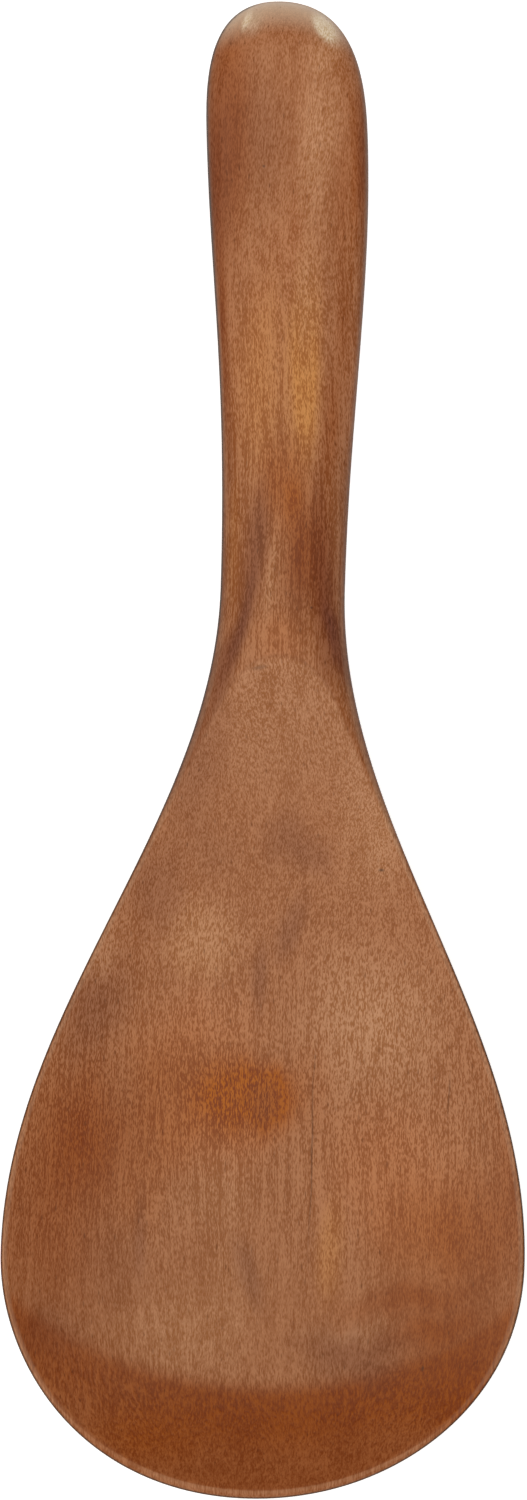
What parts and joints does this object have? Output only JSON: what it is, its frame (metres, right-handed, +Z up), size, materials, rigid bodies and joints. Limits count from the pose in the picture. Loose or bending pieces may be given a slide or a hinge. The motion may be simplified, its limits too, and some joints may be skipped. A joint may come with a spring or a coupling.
{
  "type": "wooden serving spoon",
  "caption": "Carved wooden serving spoon with a broad, shallow bowl, a thin round lip and a tapered, rounded handle, for scooping and serving rice and other food.",
  "frame": {"origin": "middle of the box's base, on the surface that the spoon lies on with its bowl up", "axes": "+Y along the spoon from the bowl's tip to the handle's end, +Z up out of the bowl, +X to the right with the handle pointing away"},
  "size_m": [0.07, 0.2, 0.0162],
  "materials": {
    "oiled_wood": "clear semi-gloss finish over open-pored, reddish brown wood"
  },
  "bodies": {
    "root": {"spoon": "oiled_wood"}
  },
  "joints": []
}
